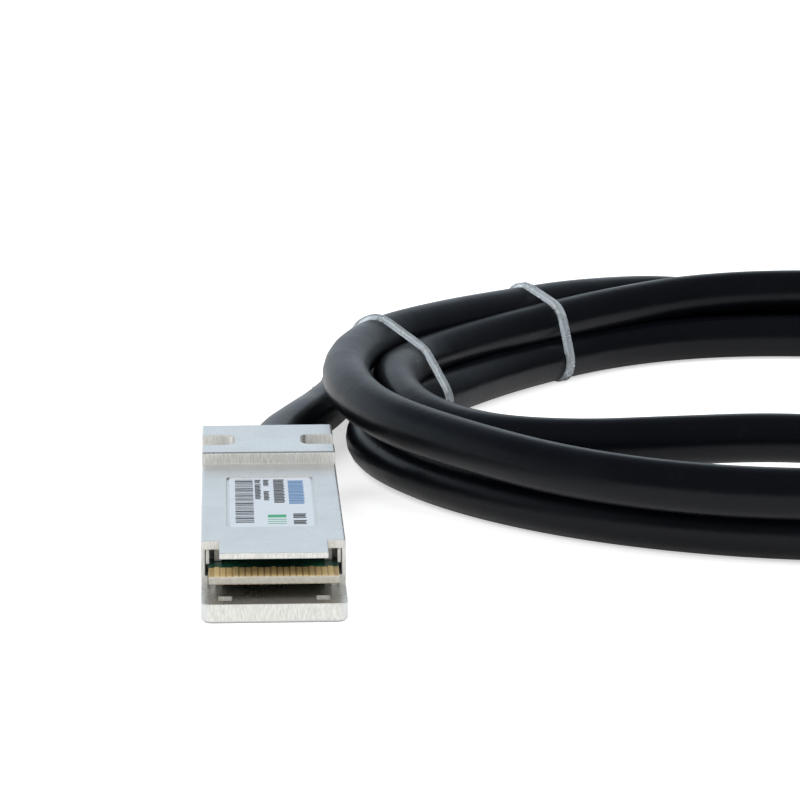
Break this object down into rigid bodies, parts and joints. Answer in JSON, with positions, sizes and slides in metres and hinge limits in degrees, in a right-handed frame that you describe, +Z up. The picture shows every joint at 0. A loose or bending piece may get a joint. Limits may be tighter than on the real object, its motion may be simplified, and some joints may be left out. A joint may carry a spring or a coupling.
{
  "type": "direct attach copper cable",
  "caption": "Two pluggable metal connectors on one stiff round cable, tied in a loose coil; each has a sliding latch with a pull tab.",
  "frame": {"origin": "on the surface the object lies on, midway between the two connectors and midway along their length", "axes": "+X from the near connector to the far one, +Y from the plug noses towards the cable, +Z up"},
  "size_m": [0.1964, 0.186, 0.0175],
  "materials": {
    "shell_metal": "satin nickel over a die casting",
    "label_film": "matt",
    "card_laminate": "solder mask",
    "gold_pads": "gold plate",
    "chip_plastic": "moulded",
    "ceramic": "matt",
    "mould_plastic": "moulded",
    "pair_foil": "foil",
    "ferrule_brass": "crimped",
    "grommet_rubber": "matt",
    "latch_steel": "stamped",
    "tab_plastic": "satin",
    "spring_steel": "drawn",
    "screw_steel": "blackened",
    "cable_jacket": "satin",
    "tie_nylon": "satin, a little translucent"
  },
  "bodies": {
    "cable_and_plugs": {"near_lower_shell": "shell_metal", "near_upper_cover": "shell_metal", "near_label": "label_film", "near_paddle_card": "card_laminate", "near_contact_pads": "gold_pads", "near_memory_chip": "chip_plastic", "near_passives": "ceramic", "near_inner_mould": "mould_plastic", "near_wire_pairs": "pair_foil", "near_crimp_ferrule": "ferrule_brass", "near_grommet": "grommet_rubber", "near_return_springs": "spring_steel", "near_shell_screws": "screw_steel", "far_lower_shell": "shell_metal", "far_upper_cover": "shell_metal", "far_label": "label_film", "far_paddle_card": "card_laminate", "far_contact_pads": "gold_pads", "far_memory_chip": "chip_plastic", "far_passives": "ceramic", "far_inner_mould": "mould_plastic", "far_wire_pairs": "pair_foil", "far_crimp_ferrule": "ferrule_brass", "far_grommet": "grommet_rubber", "far_return_springs": "spring_steel", "far_shell_screws": "screw_steel", "near_lead": "cable_jacket", "far_lead": "cable_jacket", "loose_turn": "cable_jacket", "cable_coil": "cable_jacket", "tie_1": "tie_nylon", "tie_2": "tie_nylon"},
    "near_latch": {"near_latch_slider": "latch_steel", "near_pull_tab": "tab_plastic"},
    "far_latch": {"far_latch_slider": "latch_steel", "far_pull_tab": "tab_plastic"}
  },
  "joints": [
    {"name": "near_latch_slide", "type": "slide", "parent": "cable_and_plugs", "child": "near_latch", "axis": [0, 1, 0], "range_m": [0, 0.0025], "stiffness_N_per_m": 600, "springref_m": -0.0012, "deforming": ["near_return_springs"]},
    {"name": "far_latch_slide", "type": "slide", "parent": "cable_and_plugs", "child": "far_latch", "axis": [0, 1, 0], "range_m": [0, 0.0025], "stiffness_N_per_m": 600, "springref_m": -0.0012, "deforming": ["far_return_springs"]}
  ]
}
